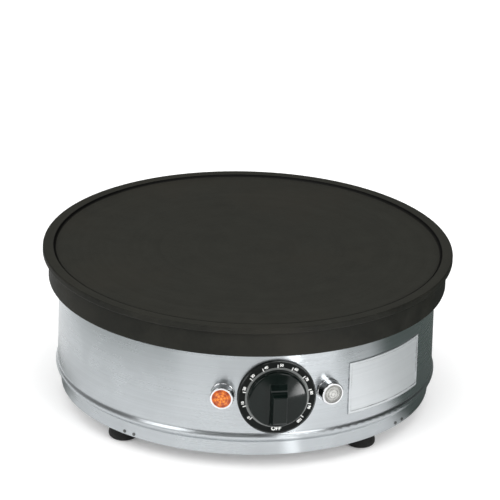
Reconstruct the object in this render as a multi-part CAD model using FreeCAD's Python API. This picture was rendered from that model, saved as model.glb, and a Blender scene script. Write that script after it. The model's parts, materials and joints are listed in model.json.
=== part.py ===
import FreeCAD, Part
import math
import os

os.makedirs("parts", exist_ok=True)

# Electric crepe maker: a round cast iron plate over a sheet steel drum, with a thermostat knob.
# Millimetres, Z up. The origin is on the plate's axis at the level that the feet stand on.
# The knob is at the front, towards -Y.

V = FreeCAD.Vector
CENTRE = V(0, 0, 0)
RIGHT = V(1, 0, 0)
UP = V(0, 0, 1)
DOWN = V(0, 0, -1)

# Cast iron plate
plate_radius = 175.0
flange_reach = 5.3
flange_thickness = 5.8
ledge_width = 9.9
recess_depth = 2.0
recess_slope = 1.4
web_thickness = 7.0
skirt_height = 28.3
skirt_wall = 4.5
cast_round = 1.4
guide_rib_width = 2.2
guide_rib_height = 2.6

# Sheet steel drum
sheet = 1.0
skirt_gap = 4.5
foot_height = 12.5
body_height = 105.5
lip_width = 17.7
band_step = 3.2
band_height = 11.7
bead_height = 9.0
bead_proud = 3.0
bead_round = 3.4
pan_flange = 10.5

# Fixings
bolt_radius = 2.95
bolt_clearance = 0.35
fit_gap = 0.05
hex_factor = 2 / math.sqrt(3)
seat_bosses = 4
seat_boss_height = 8.0
seat_boss_radius = 8.0
bolt_bite = 2.0

# Tubular heating elements
element_radius = 4.2
element_flat = 0.6
element_bend = 9.0
leg_half_spacing = 14.0
leg_length = 28.0
tab_length = 11.0
rings_apart = 56.0
dish_margin = 18.5

# Clamp plate, insulation and reflector
clamp_thickness = 2.5
clamp_rim = 10.0
studs = 6
stud_length = 22.0
nut_height = 5.0
nut_flats = 10.0
dish_depth = 25.0
dish_slope = 3.0
insulation_height = 13.0
bush_collar_radius = 8.5
bush_neck_radius = 6.6
bush_gap = 0.3

# Thermostat and its dial
dial_gap = 0.8
bezel_radius = 33.0
bezel_thickness = 2.0
dial_ring_outer = 27.6
dial_ring_inner = 25.7
dial_ring_height = 1.0
bracket_standoff = 6.5
bracket_sheet = 1.5
bracket_half_width = 26.0
bracket_half_height = 20.0
switch_depth = 12.0
switch_flange = 4.0
switch_half_width = 20.0
switch_half_height = 17.0
cup_radius = 16.5
base_depth = 14.0
switch_screw_spacing = 28.0
switch_screw_radius = 1.95
bush_radius = 5.0
bush_stand = 3.2
spindle_radius = 3.0
spindle_flat = 1.5
spindle_reach = 15.0
spindle_depth = 10.0

# Sensing bulb and capillary
bulb_radius = 3.0
bulb_half_length = 34.0
bulb_offset = 20.0
capillary_radius = 1.0
capillary_run = 12.0
capillary_bend = 5.0
capillary_drop = 23.0

# Knob
knob_radius = 25.0
knob_gap = 0.6
knob_side = 6.0
knob_crown = 8.4
knob_wall = 2.2
hub_radius = 6.2
grip_width = 13.6
grip_draft = 1.1
grip_height = 18.0
grip_top = 7.0
grip_foot = 17.0

# Pilot lamps
lamp_gap = 0.8
lamp_rise = 1.4
lamp_barrel_radius = 10.0
lamp_front_radius = 9.5
lamp_reach = 10.0
lamp_flange_radius = 10.5
lamp_neck_radius = 7.9
lamp_neck_length = 12.0
lamp_bore_radius = 6.8
lens_radius = 8.0
lens_seat = 3.5
lens_proud = 1.5

# Badge plate
badge_gap = 9.4
badge_width = 88.6
badge_low = 42.1
badge_high = 88.6
badge_thickness = 0.9
badge_border = 2.4

# Cable gland
gland_height = 52.0
gland_flange_radius = 14.5
gland_flange_thickness = 3.0
gland_hex_flats = 24.0
gland_hex_length = 8.0
gland_reach = 20.0
gland_neck_radius = 9.9
gland_neck_length = 13.0
gland_bore_radius = 6.5
cord_radius = 4.0

# Base: pan, service cover, feet, rivets
foot_azimuths = (-55.2, 34.8, 124.8, -145.2)
foot_names = ("front_left", "front_right", "rear_right", "rear_left")
foot_circle_inset = 16.0
foot_radius = 12.5
foot_top_radius = 10.8
foot_stud_radius = 2.45
vent_slots = 24
vent_width = 3.6
vent_length = 22.0
vent_inset = 38.0
service_radius = 58.0
service_lap = 10.0
rivet_azimuths = (-133.0, -47.0, 47.0, 133.0)
rivet_spacing = 10.0
rivet_rise = 2.5
rivet_radius = 0.95

# Terminal block
block_length = 46.0
block_pitch = 10.0
block_screw_inset = 4.0
block_depth = 20.0
block_height = 18.0
block_distance = 84.0

# Worked out from the values above
body_radius = plate_radius - flange_reach - skirt_wall - skirt_gap
skirt_radius = plate_radius - flange_reach
inner_radius = body_radius - sheet
band_radius = body_radius - band_step
seat_z = foot_height + body_height
web_z = seat_z + seat_boss_height
cooking_z = web_z + web_thickness
rim_z = cooking_z + recess_depth
skirt_z = rim_z - skirt_height
lip_radius = body_radius - lip_width
lip_under = seat_z - sheet
dish_radius = lip_radius - 3.6
seat_circle = body_radius - 8.7
outer_ring = dish_radius - dish_margin - 2.9
inner_ring = outer_ring - rings_apart
stud_circle = (outer_ring + inner_ring) / 2
element_z = web_z - element_radius + element_flat
clamp_top = element_z - element_radius
clamp_under = clamp_top - clamp_thickness
dish_floor = lip_under - dish_depth
pan_top = foot_height + sheet
foot_circle = band_radius - foot_circle_inset
dial_height = foot_height + band_height + bead_height + dial_gap + bezel_radius
lamp_height = dial_height + lamp_rise
lamp_azimuth = math.degrees(math.asin((bezel_radius + lamp_flange_radius + lamp_gap) / body_radius))
badge_from = lamp_azimuth + math.degrees((lamp_flange_radius + badge_gap) / body_radius)
badge_to = badge_from + math.degrees(badge_width / body_radius)


def polar(radius, azimuth, z=0.0):
    """A point by its distance from the axis and its angle from the front, positive to the right."""
    a = math.radians(azimuth)
    return V(radius * math.sin(a), -radius * math.cos(a), z)


def swing(shape, azimuth):
    """A copy turned about the plate's axis."""
    turned_copy = shape.copy()
    turned_copy.rotate(CENTRE, UP, azimuth)
    return turned_copy


def moved_to(shape, place):
    moved = shape.copy()
    moved.translate(place)
    return moved


def rod(start, direction, radius, length):
    return Part.makeCylinder(radius, length, start, direction)


def tube(start, direction, outer, inner, length):
    return rod(start, direction, outer, length).cut(rod(start, direction, inner, length))


def outline(points, to_space):
    """Closed wire through flat points (a, b) or (a, b, corner radius), placed by to_space(a, b)."""
    flat = [V(p[0], p[1], 0) for p in points]
    rounds = [p[2] if len(p) > 2 else 0 for p in points]
    edges = []
    ends = []
    for i, at in enumerate(flat):
        if not rounds[i]:
            ends.append((at, at, None))
            continue
        back = (flat[i - 1] - at).normalize()
        ahead = (flat[(i + 1) % len(flat)] - at).normalize()
        half = back.getAngle(ahead) / 2
        reach = rounds[i] / math.tan(half)
        middle = at + (back + ahead).normalize() * (rounds[i] / math.sin(half) - rounds[i])
        ends.append((at + back * reach, at + ahead * reach, middle))
    for i, (start, stop, middle) in enumerate(ends):
        place = [to_space(p.x, p.y) for p in (start, stop)]
        if middle:
            edges.append(Part.Arc(place[0], to_space(middle.x, middle.y), place[1]).toShape())
        following = ends[(i + 1) % len(ends)][0]
        if (following - stop).Length > 1e-6:
            edges.append(Part.LineSegment(place[1], to_space(following.x, following.y)).toShape())
    return Part.Wire(edges)


def turned(points):
    """Solid of revolution about Z of an outline given as (radius, z) points."""
    wire = outline(points, lambda r, z: V(r, 0, z))
    return Part.Face(wire).revolve(CENTRE, UP, 360)


def sheet_shape(points, z, thickness):
    """Flat outline (x, y) raised from z by thickness."""
    wire = outline(points, lambda x, y: V(x, y, z))
    return Part.Face(wire).extrude(UP * thickness)


def box(width, depth, height, middle):
    """Box centred on middle in X and Y, standing on middle's z."""
    return Part.makeBox(width, depth, height, middle - V(width / 2, depth / 2, 0))


def hexagon(flats, height, start, bore=0.0):
    """Hexagonal prism upwards from start, with an optional bore."""
    corner = flats * hex_factor / 2
    points = [(corner * math.cos(math.radians(60 * i)), corner * math.sin(math.radians(60 * i)))
              for i in range(6)]
    nut = sheet_shape(points, 0, height)
    nut = nut.common(turned([(0, 0), (corner - 0.6, 0), (corner, 0.5), (corner, height - 0.5),
                             (corner - 0.6, height), (0, height)]))
    nut.translate(start)
    if bore:
        nut = nut.cut(rod(start, UP, bore, height))
    return nut


def pan_screw(start, radius, length, head_radius, head_height):
    """Domed screw: head below start, shank upwards from it, cross recess left to the head's face."""
    head = turned([(0, -head_height), (head_radius * 0.55, -head_height), (head_radius, -head_height * 0.45),
                   (head_radius, 0), (0, 0)])
    socket = hexagon(head_radius * 0.8, head_height * 0.5, V(0, 0, -head_height))
    screw = head.cut(socket).fuse(rod(CENTRE, UP, radius, length))
    screw.translate(start)
    return screw


def on_wall(shape, height, azimuth=0.0):
    """Places a shape drawn facing the viewer (x right, y up, z outwards) on the drum's wall."""
    placed = shape.copy()
    placed.rotate(CENTRE, RIGHT, 90)
    placed.translate(V(0, -body_radius, height))
    return swing(placed, azimuth)


def drum(radius):
    """Solid cylinder as tall as the whole machine, for trimming pieces to the wall's curve."""
    return rod(V(0, 0, -50), UP, radius, rim_z + 100)


def nut_seat(radius):
    """Depth behind the wall's outer face at which a flat nut of this radius meets the curved wall."""
    return -(body_radius - math.sqrt(inner_radius ** 2 - radius ** 2)) - fit_gap


def leg_place(ring, side):
    """Where one of an element's legs stands: side is -1 or 1."""
    half_gap = (leg_half_spacing + element_bend) / ring
    azimuth = 180 + side * math.degrees(half_gap)
    along = polar(1, azimuth - side * 90)
    return polar(ring, azimuth) + along * element_bend


def save(name, shapes):
    """Writes one node: a solid, or several that are alike."""
    shapes = shapes if isinstance(shapes, list) else [shapes]
    solids = [s for shape in shapes for s in shape.removeSplitter().Solids]
    node = solids[0] if len(solids) == 1 else Part.makeCompound(solids)
    node.exportStep("parts/" + name + ".step")
    ok = all(s.isValid() for s in solids)
    print(f"{name:24s} solids {len(solids)}  valid {ok}  volume {sum(s.Volume for s in solids):.0f}")


# Cast iron plate

def crepe_plate():
    floor_radius = plate_radius - ledge_width - recess_slope
    plate = turned([
        (0, web_z), (skirt_radius - skirt_wall, web_z, 3.0), (skirt_radius - skirt_wall, skirt_z, 1.0),
        (skirt_radius, skirt_z, cast_round), (skirt_radius, rim_z - flange_thickness, 0.8),
        (plate_radius, rim_z - flange_thickness, cast_round), (plate_radius, rim_z, cast_round),
        (plate_radius - ledge_width, rim_z, 0.6), (floor_radius, cooking_z, 0.6), (0, cooking_z)])
    for ring in (outer_ring, inner_ring):
        for side in (-1, 1):
            middle = ring + side * (element_radius + guide_rib_width)
            half = guide_rib_width / 2
            plate = plate.fuse(turned([
                (middle - half - 0.5, web_z + 0.5), (middle - half, web_z - guide_rib_height),
                (middle + half, web_z - guide_rib_height), (middle + half + 0.5, web_z + 0.5)]))
    for i in range(seat_bosses):
        at = polar(seat_circle, 45 + 360 / seat_bosses * i, seat_z)
        boss = rod(at, UP, seat_boss_radius, seat_boss_height + 1)
        plate = plate.fuse(boss)
        plate = plate.cut(rod(at, UP, bolt_radius + fit_gap, seat_boss_height + bolt_bite))
    for i in range(studs):
        at = polar(stud_circle, 360 / studs * i, clamp_top + bush_gap)
        plate = plate.fuse(rod(at, UP, 7.0, web_z - clamp_top))
        depth = web_z - clamp_top - bush_gap + bolt_bite
        plate = plate.cut(rod(at, UP, bolt_radius + fit_gap, depth))
    return plate


# Heating

def heating_element(ring):
    """Ring of sheathed tube, flattened against the plate, with two legs down at the rear."""
    half_gap = math.degrees((leg_half_spacing + element_bend) / ring)
    start = polar(ring, 180 + half_gap, element_z)
    stop = polar(ring, 180 - half_gap, element_z)
    path = []
    for side, end in ((1, start), (-1, stop)):
        along = polar(1, 180 + side * half_gap - side * 90)
        corner = end + along * element_bend
        middle = end + along * element_bend * math.sin(math.radians(45))
        middle += DOWN * element_bend * (1 - math.cos(math.radians(45)))
        elbow = Part.Arc(end, middle, corner + DOWN * element_bend).toShape()
        leg = Part.LineSegment(corner + DOWN * element_bend, corner + DOWN * leg_length).toShape()
        path.append((leg, elbow))
    loop = Part.Arc(start, polar(ring, 0, element_z), stop).toShape()
    wire = Part.Wire([path[0][0], path[0][1], loop, path[1][1], path[1][0]])
    foot = leg_place(ring, 1) + UP * (element_z - leg_length)
    section = Part.Wire(Part.makeCircle(element_radius, foot, UP))
    element = wire.makePipeShell([section], True, False)
    element = element.cut(box(3 * ring, 3 * ring, 5, V(0, 0, web_z)))
    for side in (-1, 1):
        foot = leg_place(ring, side) + UP * (element_z - leg_length)
        element = element.fuse(rod(foot, DOWN, 2.0, 4.0))
        element = element.fuse(box(6.3, 0.8, tab_length, foot + DOWN * (tab_length + 3.0)))
    return element


def element_clamp_plate():
    """Round plate with six windows, pressed against both rings by the studs."""
    rim = outer_ring + clamp_rim
    plate = turned([(0, clamp_under), (rim, clamp_under), (rim, clamp_top), (0, clamp_top)])
    window_in = inner_ring + 13
    window_out = outer_ring - 13
    window = turned([(window_in, clamp_under), (window_out, clamp_under), (window_out, clamp_top),
                     (window_in, clamp_top)])
    for i in range(studs):
        arm = Part.makeBox(24, window_out + 5, clamp_thickness, V(-12, 0, clamp_under))
        window = window.cut(swing(arm, 360 / studs * i))
    plate = plate.cut(window)
    for i in range(studs):
        at = polar(stud_circle, 360 / studs * i, clamp_under)
        plate = plate.cut(rod(at, UP, bolt_radius + bolt_clearance, clamp_thickness))
    for ring in (outer_ring, inner_ring):
        slot_at = (leg_place(ring, 1) + leg_place(ring, -1)) / 2 + UP * clamp_under
        width = 2 * (leg_half_spacing + element_bend)
        notch = box(width, 2 * (element_radius + 2), clamp_thickness, slot_at)
        plate = plate.cut(notch)
    plate = plate.cut(rod(capillary_hole(clamp_under), UP, 3.0, clamp_thickness))
    return plate


def plate_studs():
    top = web_z + bolt_bite
    return [rod(polar(stud_circle, 360 / studs * i, top), DOWN, bolt_radius, stud_length)
            for i in range(studs)]


def stud_nuts():
    return [hexagon(nut_flats, nut_height, polar(stud_circle, 360 / studs * i, clamp_under - nut_height),
                    bolt_radius + fit_gap) for i in range(studs)]


def legs():
    return [leg_place(ring, side) for ring in (outer_ring, inner_ring) for side in (-1, 1)]


def heat_reflector():
    floor = dish_floor
    rim = body_radius - 3.7
    slope_foot = dish_radius - dish_slope
    dish = turned([
        (0, floor), (slope_foot, floor, 4.0), (dish_radius, lip_under, 1.2), (rim, lip_under),
        (rim, lip_under - sheet), (dish_radius + sheet, lip_under - sheet, 2.2),
        (slope_foot + sheet, floor - sheet, 5.0), (0, floor - sheet)])
    for i in range(seat_bosses):
        at = polar(seat_circle, 45 + 360 / seat_bosses * i, lip_under - 2)
        dish = dish.cut(rod(at, UP, bolt_radius + bolt_clearance, 4))
    for leg in legs():
        dish = dish.cut(rod(leg + UP * (floor - 2), UP, bush_neck_radius + bush_gap, 4))
    dish = dish.cut(rod(capillary_hole(floor - 2), UP, 2.0, 4))
    return dish


def insulation_disc():
    edge = dish_radius - dish_slope - 0.4
    disc = turned([(0, dish_floor), (edge, dish_floor, 5.0), (edge, dish_floor + insulation_height, 1.5),
                   (0, dish_floor + insulation_height)])
    for leg in legs():
        disc = disc.cut(rod(leg + UP * dish_floor, UP, bush_neck_radius + 1.2, insulation_height))
    return disc.cut(rod(capillary_hole(dish_floor), UP, 2.0, insulation_height))


def element_bushes():
    """Ceramic collars that carry the legs through the reflector."""
    collar = dish_floor - sheet
    bore = element_radius + bush_gap
    return [moved_to(turned([
        (bore, collar - 3.0, 0.4), (bush_collar_radius, collar - 3.0, 0.8), (bush_collar_radius, collar),
        (bush_neck_radius, collar), (bush_neck_radius, collar + 5.0, 0.6), (bore, collar + 5.0)]), leg)
        for leg in legs()]


def plate_screws():
    """Screws up through the reflector's rim and the drum's lip into the plate's bosses."""
    seat = lip_under - sheet
    length = seat_z + seat_boss_height + bolt_bite - seat
    return [pan_screw(polar(seat_circle, 45 + 360 / seat_bosses * i, seat), bolt_radius, length, 5.6, 3.6)
            for i in range(seat_bosses)]


# Drum

def body_shell():
    bead_low = foot_height + band_height
    bead_top = bead_low + bead_height
    bead_peak = bead_low + 5.0
    peak = body_radius + bead_proud
    shell = turned([
        (band_radius, foot_height), (band_radius, bead_low, 1.5), (peak, bead_peak, bead_round),
        (body_radius, bead_top, 3.0), (body_radius, seat_z, 2.0), (lip_radius, seat_z),
        (lip_radius, lip_under), (inner_radius, lip_under, 1.0), (inner_radius, bead_top + 0.3, 3.0),
        (peak - 1.6 * sheet, bead_peak, bead_round - sheet), (band_radius - sheet, bead_low + 0.6, 1.5),
        (band_radius - sheet, foot_height)])
    holes = [on_wall(rod(V(0, 0, -20), UP, bush_radius + 0.6, 40), dial_height)]
    for side in (-1, 1):
        place = V(side * switch_screw_spacing / 2, 0, -20)
        holes.append(on_wall(rod(place, UP, switch_screw_radius + 0.25, 40), dial_height))
        neck = rod(V(0, 0, -20), UP, lamp_neck_radius + 0.2, 40)
        holes.append(on_wall(neck, lamp_height, side * lamp_azimuth))
    holes.append(on_wall(rod(V(0, 0, -20), UP, gland_neck_radius + 0.2, 40), gland_height, 180))
    for i in range(seat_bosses):
        at = polar(seat_circle, 45 + 360 / seat_bosses * i, lip_under - 2)
        holes.append(rod(at, UP, bolt_radius + bolt_clearance, 6))
    holes.extend(rivet_shanks(fit_gap))
    for hole in holes:
        shell = shell.cut(hole)
    return shell


def rivet_places():
    """Azimuths of the rivets: a pair at each place."""
    half = math.degrees(rivet_spacing / 2 / band_radius)
    return [azimuth + side * half for azimuth in rivet_azimuths for side in (-1, 1)]


def rivet_shanks(gap):
    z = foot_height + rivet_rise
    start = band_radius - 2 * sheet - 0.2
    return [rod(polar(start, a, z), polar(1, a), rivet_radius + gap, 2 * sheet + 0.4)
            for a in rivet_places()]


def rim_rivets():
    """Rivets through the band and the pan's flange, with a low head outside and a tail inside."""
    z = foot_height + rivet_rise
    wall_in = band_radius - 2 * sheet - 0.1
    rivets = []
    for a in rivet_places():
        out = polar(1, a)
        shank = rod(polar(wall_in - 0.5, a, z), out, rivet_radius, 2 * sheet + 1.0)
        head = rod(polar(band_radius + 0.02, a, z), out, rivet_radius + 0.45, 0.45)
        tail = rod(polar(wall_in - 0.55, a, z), out, rivet_radius + 0.2, 0.5)
        rivets.append(shank.fuse(head).fuse(tail))
    return rivets


# Base

def base_pan():
    outer = band_radius - sheet - fit_gap
    rise = foot_height + pan_flange
    pan = turned([(0, foot_height), (outer, foot_height, 1.5), (outer, rise), (outer - sheet, rise),
                  (outer - sheet, pan_top, 0.5), (0, pan_top)])
    pan = pan.cut(rod(V(0, 0, foot_height - 1), UP, service_radius, 4))
    slot_out = band_radius - vent_inset
    slot_in = slot_out - vent_length
    half = vent_width / 2
    end = half - fit_gap
    slot = sheet_shape([(-half, slot_in, end), (half, slot_in, end), (half, slot_out, end),
                        (-half, slot_out, end)], foot_height - 1, 4)
    for i in range(vent_slots):
        pan = pan.cut(swing(slot, 360 / vent_slots * (i + 0.5)))
    for azimuth in foot_azimuths:
        at = polar(foot_circle, azimuth, foot_height - 1)
        pan = pan.cut(rod(at, UP, foot_stud_radius + bolt_clearance, 4))
    for i in range(4):
        at = polar(service_radius + service_lap / 2, 90 * i, foot_height - 1)
        pan = pan.cut(rod(at, UP, 1.8, 4))
    for x in (-block_length / 2 + block_screw_inset, block_length / 2 - block_screw_inset):
        pan = pan.cut(rod(V(x, block_distance, foot_height - 1), UP, 1.5 + fit_gap, 4))
    for hole in rivet_shanks(fit_gap):
        pan = pan.cut(hole)
    return pan


def service_cover():
    """Dished round cover over the opening in the pan, screwed on from below."""
    outer = service_radius + service_lap
    step = 2.0
    cover = turned([
        (0, foot_height + step - sheet), (service_radius - 3 * step, foot_height + step - sheet, 1.2),
        (service_radius - step, foot_height - sheet, 1.2), (outer, foot_height - sheet, 0.4),
        (outer, foot_height), (service_radius - step + sheet, foot_height, 0.6),
        (service_radius - 3 * step + sheet, foot_height + step, 0.6), (0, foot_height + step)])
    for i in range(4):
        at = polar(service_radius + service_lap / 2, 90 * i, foot_height - 3)
        cover = cover.cut(rod(at, UP, 2.0, 6))
    return cover


def service_screws():
    return [pan_screw(polar(service_radius + service_lap / 2, 90 * i, foot_height - sheet), 1.75,
                      6.0, 3.6, 2.2) for i in range(4)]


def rubber_foot(azimuth):
    foot = turned([
        (0, 0), (foot_radius, 0, 3.5), (foot_radius, 5.0, 2.5), (foot_top_radius, foot_height, 0.8),
        (foot_stud_radius + fit_gap, foot_height), (foot_stud_radius + fit_gap, 6.0), (5.0, 6.0),
        (5.0, 4.0), (0, 4.0)])
    return moved_to(foot, polar(foot_circle, azimuth))


def foot_studs():
    """Threaded studs whose heads are moulded into the rubber."""
    stud = turned([(0, 4.0), (5.0 - fit_gap, 4.0), (5.0 - fit_gap, 6.0 - fit_gap),
                   (foot_stud_radius, 6.0 - fit_gap), (foot_stud_radius, pan_top + 8.0, 0.5),
                   (0, pan_top + 8.0)])
    return [moved_to(stud, polar(foot_circle, a)) for a in foot_azimuths]


def foot_nuts():
    return [hexagon(8.0, 4.0, polar(foot_circle, a, pan_top), foot_stud_radius + fit_gap)
            for a in foot_azimuths]


# Dial, thermostat and knob, drawn facing the viewer

def dial_bezel():
    edge = bezel_thickness
    disc = turned([
        (bush_radius + 0.6, -8.0), (bezel_radius, -8.0), (bezel_radius, edge - 0.8),
        (bezel_radius - 0.8, edge), (bush_radius + 0.6, edge)])
    for side in (-1, 1):
        place = V(side * switch_screw_spacing / 2, 0, -8)
        disc = disc.cut(rod(place, UP, switch_screw_radius + 0.25, 12))
    return on_wall(disc, dial_height).cut(drum(body_radius + fit_gap))


def dial_ring():
    ring = turned([
        (dial_ring_inner, bezel_thickness), (dial_ring_outer, bezel_thickness),
        (dial_ring_outer - 0.4, bezel_thickness + dial_ring_height, 0.3),
        (dial_ring_inner, bezel_thickness + dial_ring_height, 0.3)])
    return on_wall(ring, dial_height)


def thermostat_bracket():
    """Pressed channel whose side flanges stand on the inside of the wall."""
    back = -bracket_standoff - bracket_sheet
    w = bracket_half_width
    wire = outline([
        (-w, 0), (-w, back, 2.5), (w, back, 2.5), (w, 0), (w - bracket_sheet, 0),
        (w - bracket_sheet, -bracket_standoff, 1.0), (-w + bracket_sheet, -bracket_standoff, 1.0),
        (-w + bracket_sheet, 0)], lambda x, z: V(x, -bracket_half_height, z))
    bracket = Part.Face(wire).extrude(V(0, 2 * bracket_half_height, 0))
    bracket = bracket.cut(rod(V(0, 0, back - 1), UP, bush_radius + 0.3, 5))
    for side in (-1, 1):
        place = V(side * switch_screw_spacing / 2, 0, back - 1)
        bracket = bracket.cut(rod(place, UP, switch_screw_radius + 0.25, 5))
    return on_wall(bracket, dial_height).common(drum(inner_radius - fit_gap))


def switch_front():
    return -bracket_standoff - bracket_sheet


def thermostat_body():
    """Metal housing of the thermostat: a squared flange on a round cup."""
    front = switch_front()
    w = switch_half_width
    h = switch_half_height
    flange = sheet_shape([(-w, -h, 3), (w, -h, 3), (w, h, 3), (-w, h, 3)],
                         front - switch_flange, switch_flange)
    cup = turned([(0, front - switch_depth), (cup_radius - 0.6, front - switch_depth, 1.0),
                  (cup_radius, front - switch_flange + 0.5), (0, front - switch_flange + 0.5)])
    body = flange.fuse(cup)
    body = body.cut(rod(V(0, 0, front - spindle_depth), UP, spindle_radius + fit_gap, spindle_depth))
    for side in (-1, 1):
        place = V(side * switch_screw_spacing / 2, 0, front - switch_flange)
        body = body.cut(rod(place, UP, switch_screw_radius + fit_gap, switch_flange))
    return on_wall(body, dial_height)


def thermostat_base():
    """Ceramic switch base behind the metal housing, with two rows of pockets for the contacts."""
    back = switch_front() - switch_depth - base_depth
    base = sheet_shape([(-22, -16, 4), (22, -16, 4), (22, 16, 4), (-22, 16, 4)], back, base_depth)
    for x in (-12, 12):
        for y in (-8, 8):
            base = base.cut(box(8, 3, 5, V(x, y, back)))
    return on_wall(base, dial_height)


def thermostat_tabs():
    """Brass contacts standing in the base's pockets."""
    back = switch_front() - switch_depth - base_depth
    return [on_wall(box(6.3, 0.8, 13.0, V(x, y, back - 8.0)), dial_height)
            for x in (-12, 12) for y in (-8, 8)]


def thermostat_bush():
    front = switch_front()
    bush = turned([
        (spindle_radius + fit_gap, front), (bush_radius, front),
        (bush_radius, bezel_thickness + bush_stand, 0.6),
        (spindle_radius + fit_gap, bezel_thickness + bush_stand)])
    return on_wall(bush, dial_height)


def thermostat_screws():
    screws = []
    for side in (-1, 1):
        length = bezel_thickness - switch_front() + switch_flange - 0.2
        screw = pan_screw(CENTRE, switch_screw_radius, length, 3.5, 2.3)
        screw.rotate(CENTRE, RIGHT, 180)
        screw.translate(V(side * switch_screw_spacing / 2, 0, bezel_thickness))
        screws.append(on_wall(screw, dial_height))
    return screws


def thermostat_shaft():
    """Spindle with a flat on its outer end for the knob."""
    start = switch_front() - spindle_depth + 0.4
    end = bezel_thickness + spindle_reach
    shaft = turned([(0, start), (spindle_radius, start), (spindle_radius, end, 0.5), (0, end)])
    shaft = shaft.cut(Part.makeBox(8, 4, 40, V(-4, spindle_flat, end - 10.5)))
    return on_wall(shaft, dial_height)


def knob_bore():
    bottom = bezel_thickness + 4.2
    bore = rod(V(0, 0, bottom - 1), UP, spindle_radius + fit_gap, spindle_reach - 4.2 + 1.2)
    flat = Part.makeBox(8, 4, 20, V(-4, spindle_flat + 0.7, bottom + 0.4))
    return bore.cut(flat)


def control_knob():
    """Hollow knob with a raised grip bar that points at the dial, and a hub on the spindle."""
    face = bezel_thickness
    r = knob_radius
    wall = knob_wall
    body = turned([
        (0, face + 4.2), (hub_radius, face + 4.2), (hub_radius + 0.2, face + knob_side - 0.8),
        (r - wall - 0.6, face + knob_side - 1.2, 1.5), (r - wall, face + knob_gap), (r, face + knob_gap, 0.3),
        (r - 0.5, face + knob_side, 1.8), (0, face + knob_crown)])
    low = face + knob_side - 1.0
    high = face + grip_height
    half = grip_width / 2
    side_view = outline([
        (-r + 1.6, low), (-grip_foot - 1.6, low + 6.0, 3.0), (-grip_foot, high, 3.0), (grip_top, high, 0.8),
        (grip_top + 2.5, low + 5.5, 6.0), (grip_top + 9.5, low + 0.6)],
        lambda y, z: V(-half - grip_draft, y, z))
    end_view = outline([
        (-half - grip_draft, low - 1), (-half + grip_draft, high, 0.9), (half - grip_draft, high, 0.9),
        (half + grip_draft, low - 1)], lambda x, z: V(x, -r, z))
    grip = Part.Face(side_view).extrude(RIGHT * 2 * (half + grip_draft))
    grip = grip.common(Part.Face(end_view).extrude(V(0, 2 * r, 0)))
    knob = body.fuse(grip).cut(knob_bore())
    return on_wall(knob, dial_height)


def knob_spring():
    """Leaf spring between the spindle's flat and the hub."""
    bottom = bezel_thickness + 4.2 + 1.2
    leaf = sheet_shape([(-2.0, spindle_flat + 0.1), (2.0, spindle_flat + 0.1), (2.0, spindle_flat + 0.6),
                        (-2.0, spindle_flat + 0.6)], bottom, 8.5)
    return on_wall(leaf, dial_height)


# Capillary and bulb

def bulb_z():
    return web_z - bulb_radius - fit_gap


def capillary_hole(z):
    return V(-bulb_half_length - capillary_run, -bulb_offset, z)


def sensing_bulb():
    start = V(-bulb_half_length, -bulb_offset, bulb_z())
    bulb = rod(start, RIGHT, bulb_radius, 2 * bulb_half_length)
    return bulb


def bulb_clips():
    """Saddles that press the bulb against the plate."""
    clips = []
    for x in (-20, 20):
        at = V(x, -bulb_offset, clamp_top)
        clip = box(10, 4 * bulb_radius, bulb_z() - clamp_top, at)
        clip = clip.cut(rod(V(x - 6, -bulb_offset, bulb_z()), RIGHT, bulb_radius + fit_gap, 12))
        clips.append(clip)
    return clips


def bent_path(points, bend):
    """Wire of straight runs joined by tangent arcs of one radius."""
    edges = []
    last = points[0]
    for before, at, after in zip(points, points[1:], points[2:]):
        back = (before - at).normalize()
        ahead = (after - at).normalize()
        half = back.getAngle(ahead) / 2
        reach = bend / math.tan(half)
        middle = at + (back + ahead).normalize() * (bend / math.sin(half) - bend)
        edges.append(Part.LineSegment(last, at + back * reach).toShape())
        edges.append(Part.Arc(at + back * reach, middle, at + ahead * reach).toShape())
        last = at + ahead * reach
    edges.append(Part.LineSegment(last, points[-1]).toShape())
    return Part.Wire(edges)


def bent_tube(points, bend, radius):
    path = bent_path(points, bend)
    section = Part.Wire(Part.makeCircle(radius, points[0], points[1] - points[0]))
    return path.makePipeShell([section], True, False)


def capillary_tube():
    """Fine tube from the bulb's end down through the reflector and up into the thermostat's cup."""
    level = dial_height - capillary_drop
    cup_y = -body_radius - switch_front() + switch_flange + capillary_run / 3
    turn = capillary_hole(bulb_z())
    return bent_tube([
        V(-bulb_half_length, -bulb_offset, bulb_z()), turn, V(turn.x, turn.y, level), V(turn.x, cup_y, level),
        V(0, cup_y, level), V(0, cup_y, dial_height - cup_radius + 0.2)], capillary_bend, capillary_radius)


# Pilot lamps, drawn facing the viewer

def lamp_bezel(azimuth):
    barrel = turned([
        (lamp_bore_radius, -4.0), (lamp_flange_radius, -4.0), (lamp_flange_radius, 1.6, 0.5),
        (lamp_barrel_radius, 1.8), (lamp_barrel_radius, lamp_reach - 1.2),
        (lamp_front_radius, lamp_reach, 0.6), (lens_radius + 0.1, lamp_reach),
        (lens_radius + 0.1, lens_seat), (lamp_bore_radius, lens_seat)])
    neck = tube(V(0, 0, -lamp_neck_length), UP, lamp_neck_radius, lamp_bore_radius, lamp_neck_length + 1)
    outside = on_wall(barrel, lamp_height, azimuth).cut(drum(body_radius + fit_gap))
    return outside.fuse(on_wall(neck, lamp_height, azimuth))


def lamp_lens(azimuth):
    """Stepped lens with concentric rings."""
    front = lamp_reach + lens_proud
    lens = turned([
        (0, lens_seat), (lens_radius, lens_seat), (lens_radius, lamp_reach - 0.6), (6.7, lamp_reach + 0.4),
        (6.1, lamp_reach), (4.7, lamp_reach + 0.9), (4.1, lamp_reach + 0.5), (2.7, front - 0.1),
        (2.1, front - 0.4), (0, front)])
    return on_wall(lens, lamp_height, azimuth)


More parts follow.
